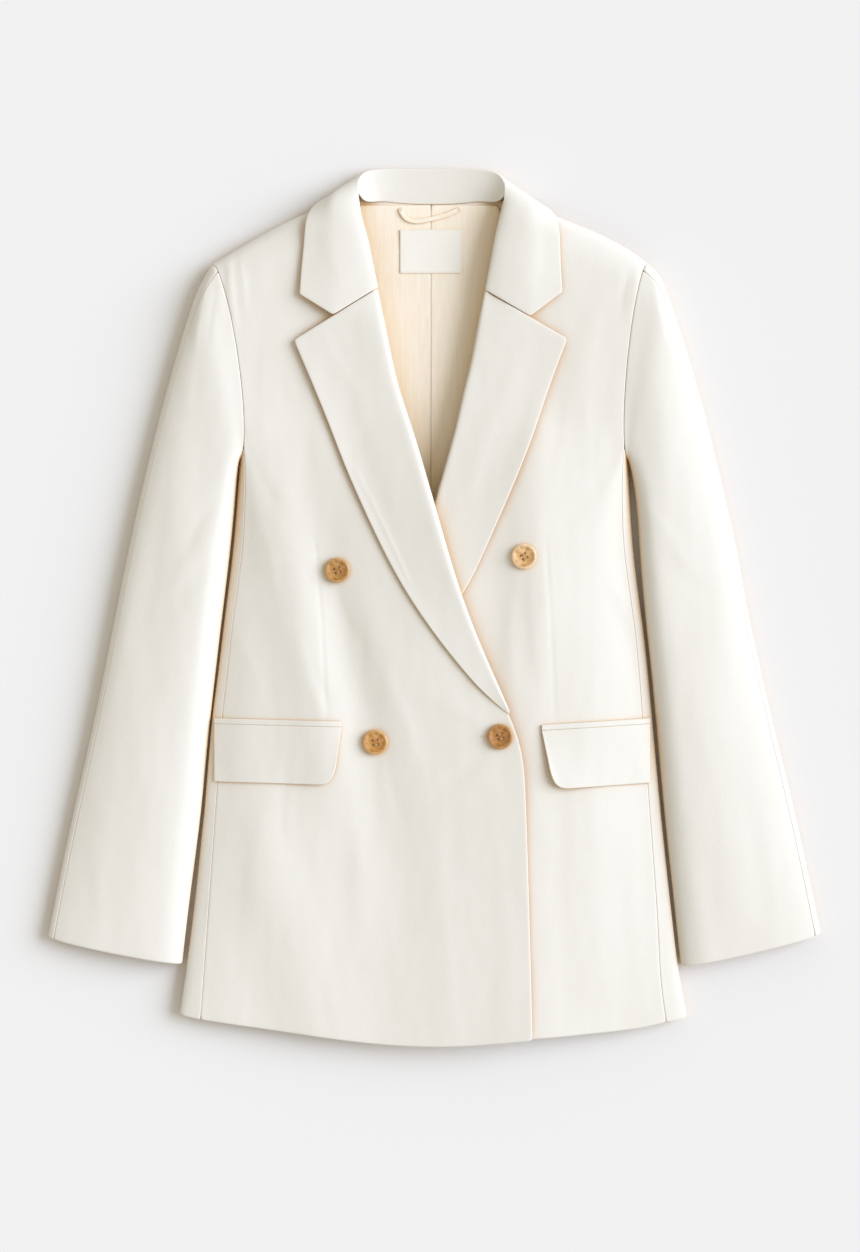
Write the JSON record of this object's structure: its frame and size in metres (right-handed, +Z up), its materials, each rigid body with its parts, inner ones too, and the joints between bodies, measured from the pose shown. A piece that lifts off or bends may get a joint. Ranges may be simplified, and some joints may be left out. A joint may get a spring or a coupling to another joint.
{
  "type": "double-breasted blazer",
  "caption": "Double-breasted blazer with notched lapels, flap pockets and round buttons, laid flat on its back and fastened.",
  "frame": {"origin": "on the surface beneath the blazer, under the middle of its whole outline", "axes": "+Z up out of the laid blazer's front, +Y towards the collar, +X towards the wearer's left sleeve"},
  "size_m": [0.674, 0.7652, 0.0391],
  "materials": {
    "cloth": "off-white cream suiting in a fine twill, matt with a faint sheen",
    "lining": "warm cream satin lining",
    "label": "blank woven label",
    "button": "tan horn with a darker mottle, satin polish"
  },
  "bodies": {
    "root": {"back_right": "cloth", "back_left": "cloth", "side_right": "cloth", "side_left": "cloth", "front_left": "cloth", "front_right": "cloth", "lapel_left": "cloth", "lapel_right": "cloth", "collar_leaf": "cloth", "collar_stand": "cloth", "top_sleeve_right": "cloth", "under_sleeve_right": "cloth", "top_sleeve_left": "cloth", "under_sleeve_left": "cloth", "pocket_flap_right": "cloth", "pocket_welt_right": "cloth", "pocket_flap_left": "cloth", "pocket_welt_left": "cloth", "lining_right": "lining", "lining_left": "lining", "hanger_loop": "lining", "neck_label": "label", "button_over_upper": "button", "button_over_lower": "button", "button_under_upper": "button", "button_fastened": "button"}
  },
  "joints": []
}
